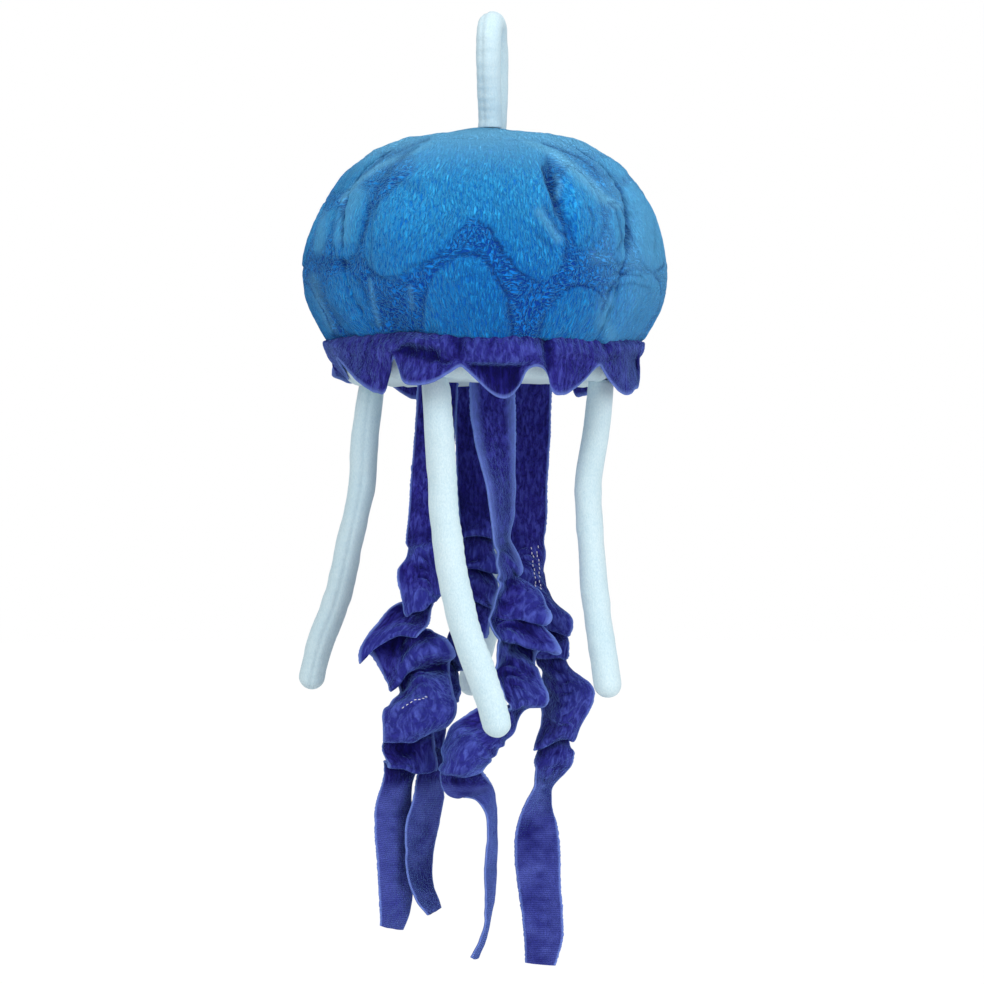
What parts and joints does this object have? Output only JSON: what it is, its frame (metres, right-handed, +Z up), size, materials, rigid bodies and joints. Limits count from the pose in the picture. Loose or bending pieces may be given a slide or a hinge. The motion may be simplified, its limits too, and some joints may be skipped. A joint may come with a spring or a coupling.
{
  "type": "hanging plush jellyfish",
  "caption": "Hanging plush jellyfish: stuffed dome bell on a loop, scalloped collar, stuffed tube tentacles and gathered velour ribbons below.",
  "frame": {"origin": "where a hook bears, on the inner side of the hanging loop's crown", "axes": "+Z up along the hanging line, front towards -Y, +X to the viewer's right"},
  "size_m": [0.1833, 0.182, 0.4773],
  "materials": {
    "bell_plush": "sky blue plush pile with smoother lighter patches",
    "indigo_velour": "indigo stretch velour with a pale edge sheen",
    "pale_velour": "pale blue short velour"
  },
  "bodies": {
    "root": {"bell": "bell_plush", "base_panel": "pale_velour", "scalloped_collar": "indigo_velour", "hanging_loop": "pale_velour", "tentacle_front": "pale_velour", "tentacle_right": "pale_velour", "tentacle_left": "pale_velour", "tentacle_back": "pale_velour", "ribbon_left": "indigo_velour", "ribbon_back": "indigo_velour", "ribbon_centre": "indigo_velour", "ribbon_right": "indigo_velour"}
  },
  "joints": []
}
